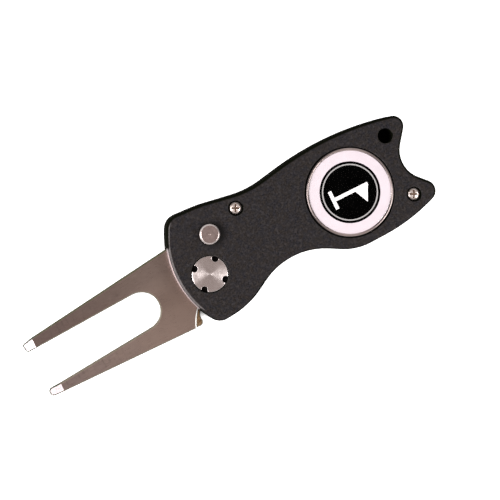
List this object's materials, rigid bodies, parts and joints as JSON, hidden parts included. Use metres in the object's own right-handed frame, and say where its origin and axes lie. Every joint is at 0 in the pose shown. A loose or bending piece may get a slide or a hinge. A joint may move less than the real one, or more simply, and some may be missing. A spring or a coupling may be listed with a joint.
{
  "type": "divot repair tool",
  "caption": "Folding divot repair tool with a forked plate, push button, notched pivot cap, lanyard hole and a lift-off magnetic ball marker in a coated metal handle.",
  "frame": {"origin": "on the fork's pivot axis, at the back face of the handle", "axes": "+X along the handle towards its two-eared tail, +Y towards the button side (the spine), +Z out of the front face that carries the marker"},
  "size_m": [0.1236, 0.0328, 0.0112],
  "materials": {
    "coated_shell": "charcoal powder coat, fine texture",
    "fork_steel": "satin stainless, ground points",
    "inner_steel": "turned",
    "turned_steel": "faced in a lathe, circular marks",
    "spring_wire": "drawn wire",
    "bronze_washer": "stamped bronze",
    "screw_steel": "nickel plated",
    "magnet_plating": "nickel plated",
    "marker_rim": "polished rolled rim",
    "marker_white": "gloss, pinkish white",
    "marker_black": "gloss black",
    "marker_light": "gloss off-white",
    "clear_resin": "clear gloss resin"
  },
  "bodies": {
    "handle": {"front_shell": "coated_shell", "back_shell": "coated_shell", "pivot_post": "inner_steel", "pivot_cap": "turned_steel", "torsion_spring": "spring_wire", "front_washer": "bronze_washer", "back_washer": "bronze_washer", "button_spring": "spring_wire", "case_screws": "screw_steel", "marker_magnet": "magnet_plating"},
    "fork": {"fork": "fork_steel"},
    "button": {"release_button": "turned_steel"},
    "marker": {"marker_base": "marker_rim", "marker_field": "marker_white", "marker_disc": "marker_black", "marker_emblem": "marker_light", "marker_dome": "clear_resin"}
  },
  "joints": [
    {"name": "fork_pivot", "type": "hinge", "parent": "handle", "child": "fork", "pos_m": [0, 0, 0], "axis": [0, 0, 1], "range_deg": [0, 176], "stiffness_Nm_per_rad": 0.015, "springref_deg": -28.65, "deforming": ["torsion_spring"]},
    {"name": "button_press", "type": "slide", "parent": "handle", "child": "button", "axis": [0, 0, -1], "range_m": [0, 0.0015], "stiffness_N_per_m": 800, "springref_m": -0.001, "deforming": ["button_spring"]},
    {"name": "marker_lift", "type": "slide", "parent": "handle", "child": "marker", "axis": [0, 0, 1], "range_m": [0, 0.02]}
  ]
}
